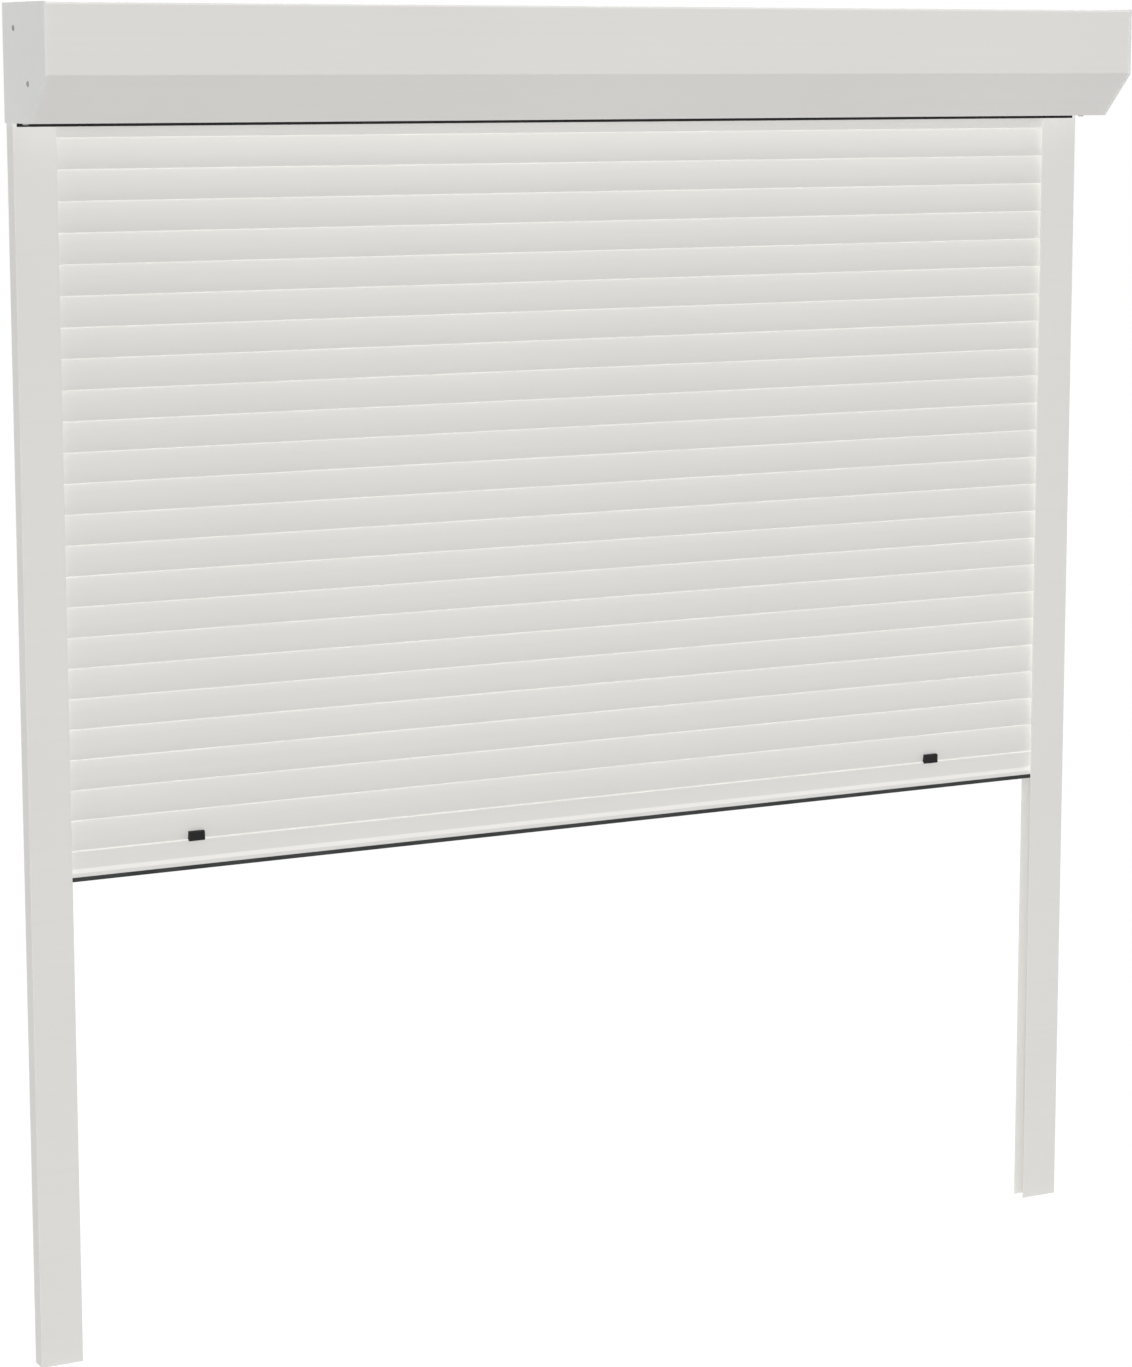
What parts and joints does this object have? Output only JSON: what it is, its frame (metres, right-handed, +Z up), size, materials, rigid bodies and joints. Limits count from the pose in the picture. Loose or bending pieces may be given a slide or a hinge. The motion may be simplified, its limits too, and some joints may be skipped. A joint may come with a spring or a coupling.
{
  "type": "exterior roller shutter",
  "caption": "Exterior roller shutter for a window: box with a sloped front, two guide rails and a slatted curtain with an end bar, half lowered.",
  "frame": {"origin": "on the wall plane, in the middle of the box's rear wall", "axes": "+X along the box to the right seen from outside, +Y into the wall, +Z up"},
  "size_m": [1.5066, 0.141, 1.6424],
  "materials": {
    "coated_panel": "pale grey powder coat",
    "coated_slat": "pale grey coil coat",
    "zinc_steel": "zinc plated",
    "black_plastic": "moulded",
    "seal_rubber": "extruded",
    "brush_pile": "woven pile",
    "motor_case": "satin"
  },
  "bodies": {
    "frame": {"box_back_top": "coated_panel", "box_front": "coated_panel", "box_bottom": "coated_panel", "end_cap_l": "coated_panel", "end_cap_r": "coated_panel", "cap_screws": "zinc_steel", "cover_screws": "zinc_steel", "outlet_seal": "seal_rubber", "rail_l": "coated_panel", "rail_r": "coated_panel", "rail_brush_l": "brush_pile", "rail_brush_r": "brush_pile", "inlet_guide_l": "black_plastic", "inlet_guide_r": "black_plastic", "motor_tube": "motor_case", "motor_head": "motor_case", "motor_bracket": "zinc_steel", "idler_bearing": "zinc_steel", "bearing_bracket": "zinc_steel", "slat_24": "coated_slat", "slat_25": "coated_slat"},
    "curtain_foot": {"end_bar": "coated_panel", "end_bar_seal": "seal_rubber", "stopper_l": "black_plastic", "stopper_r": "black_plastic", "slat_01": "coated_slat", "slat_02": "coated_slat"},
    "slats_01": {"slat_03": "coated_slat"},
    "slats_02": {"slat_04": "coated_slat", "slat_05": "coated_slat"},
    "slats_03": {"slat_06": "coated_slat"},
    "slats_04": {"slat_07": "coated_slat", "slat_08": "coated_slat"},
    "slats_05": {"slat_09": "coated_slat"},
    "slats_06": {"slat_10": "coated_slat", "slat_11": "coated_slat"},
    "slats_07": {"slat_12": "coated_slat"},
    "slats_08": {"slat_13": "coated_slat"},
    "slats_09": {"slat_14": "coated_slat", "slat_15": "coated_slat"},
    "slats_10": {"slat_16": "coated_slat"},
    "slats_11": {"slat_17": "coated_slat", "slat_18": "coated_slat"},
    "slats_12": {"slat_19": "coated_slat"},
    "slats_13": {"slat_20": "coated_slat", "slat_21": "coated_slat"},
    "slats_14": {"slat_22": "coated_slat"},
    "slats_15": {"slat_23": "coated_slat"},
    "winding_shaft": {"shaft_tube": "zinc_steel", "motor_crown": "black_plastic", "drive_adaptor": "black_plastic", "idler_plug": "black_plastic", "wound_slats": "coated_slat", "curtain_clips": "zinc_steel"}
  },
  "joints": [
    {"name": "curtain_travel", "type": "slide", "parent": "frame", "child": "curtain_foot", "axis": [0, 0, 1], "range_m": [-0.592, 0.851], "deforming": ["slat_01", "slat_02", "slat_03", "slat_04", "slat_05", "slat_06", "slat_07", "slat_08", "slat_09", "slat_10", "slat_11", "slat_12", "slat_13", "slat_14", "slat_15", "slat_16", "slat_17", "slat_18", "slat_19", "slat_20", "slat_21", "slat_22", "slat_23", "slat_24", "slat_25"]},
    {"name": "slat_travel_01", "type": "slide", "parent": "frame", "child": "slats_01", "axis": [0, 0, 1], "range_m": [-0.5555, 0.79831]},
    {"name": "slat_travel_02", "type": "slide", "parent": "frame", "child": "slats_02", "axis": [0, 0, 1], "range_m": [-0.5185, 0.74513]},
    {"name": "slat_travel_03", "type": "slide", "parent": "frame", "child": "slats_03", "axis": [0, 0, 1], "range_m": [-0.4815, 0.69194]},
    {"name": "slat_travel_04", "type": "slide", "parent": "frame", "child": "slats_04", "axis": [0, 0, 1], "range_m": [-0.4445, 0.63875]},
    {"name": "slat_travel_05", "type": "slide", "parent": "frame", "child": "slats_05", "axis": [0, 0, 1], "range_m": [-0.4075, 0.58556]},
    {"name": "slat_travel_06", "type": "slide", "parent": "frame", "child": "slats_06", "axis": [0, 0, 1], "range_m": [-0.3705, 0.53238]},
    {"name": "slat_travel_07", "type": "slide", "parent": "frame", "child": "slats_07", "axis": [0, 0, 1], "range_m": [-0.3335, 0.47919]},
    {"name": "slat_travel_08", "type": "slide", "parent": "frame", "child": "slats_08", "axis": [0, 0, 1], "range_m": [-0.2965, 0.426]},
    {"name": "slat_travel_09", "type": "slide", "parent": "frame", "child": "slats_09", "axis": [0, 0, 1], "range_m": [-0.2595, 0.37281]},
    {"name": "slat_travel_10", "type": "slide", "parent": "frame", "child": "slats_10", "axis": [0, 0, 1], "range_m": [-0.2225, 0.31962]},
    {"name": "slat_travel_11", "type": "slide", "parent": "frame", "child": "slats_11", "axis": [0, 0, 1], "range_m": [-0.1855, 0.26644]},
    {"name": "slat_travel_12", "type": "slide", "parent": "frame", "child": "slats_12", "axis": [0, 0, 1], "range_m": [-0.1485, 0.21325]},
    {"name": "slat_travel_13", "type": "slide", "parent": "frame", "child": "slats_13", "axis": [0, 0, 1], "range_m": [-0.1115, 0.16006]},
    {"name": "slat_travel_14", "type": "slide", "parent": "frame", "child": "slats_14", "axis": [0, 0, 1], "range_m": [-0.0745, 0.10687]},
    {"name": "slat_travel_15", "type": "slide", "parent": "frame", "child": "slats_15", "axis": [0, 0, 1], "range_m": [-0.0375, 0.05369]},
    {"name": "shaft_turn", "type": "hinge", "parent": "frame", "child": "winding_shaft", "pos_m": [0, -0.072, 0.004], "axis": [1, 0, 0], "range_deg": [-680, 977]}
  ],
  "couplings": [
    {"joint": "slat_travel_01", "follows": "curtain_travel", "ratio": 0.9375},
    {"joint": "slat_travel_02", "follows": "curtain_travel", "ratio": 0.875},
    {"joint": "slat_travel_03", "follows": "curtain_travel", "ratio": 0.8125},
    {"joint": "slat_travel_04", "follows": "curtain_travel", "ratio": 0.75},
    {"joint": "slat_travel_05", "follows": "curtain_travel", "ratio": 0.6875},
    {"joint": "slat_travel_06", "follows": "curtain_travel", "ratio": 0.625},
    {"joint": "slat_travel_07", "follows": "curtain_travel", "ratio": 0.5625},
    {"joint": "slat_travel_08", "follows": "curtain_travel", "ratio": 0.5},
    {"joint": "slat_travel_09", "follows": "curtain_travel", "ratio": 0.4375},
    {"joint": "slat_travel_10", "follows": "curtain_travel", "ratio": 0.375},
    {"joint": "slat_travel_11", "follows": "curtain_travel", "ratio": 0.3125},
    {"joint": "slat_travel_12", "follows": "curtain_travel", "ratio": 0.25},
    {"joint": "slat_travel_13", "follows": "curtain_travel", "ratio": 0.1875},
    {"joint": "slat_travel_14", "follows": "curtain_travel", "ratio": 0.125},
    {"joint": "slat_travel_15", "follows": "curtain_travel", "ratio": 0.0625},
    {"joint": "shaft_turn", "follows": "curtain_travel", "rad_per_m": 20}
  ]
}
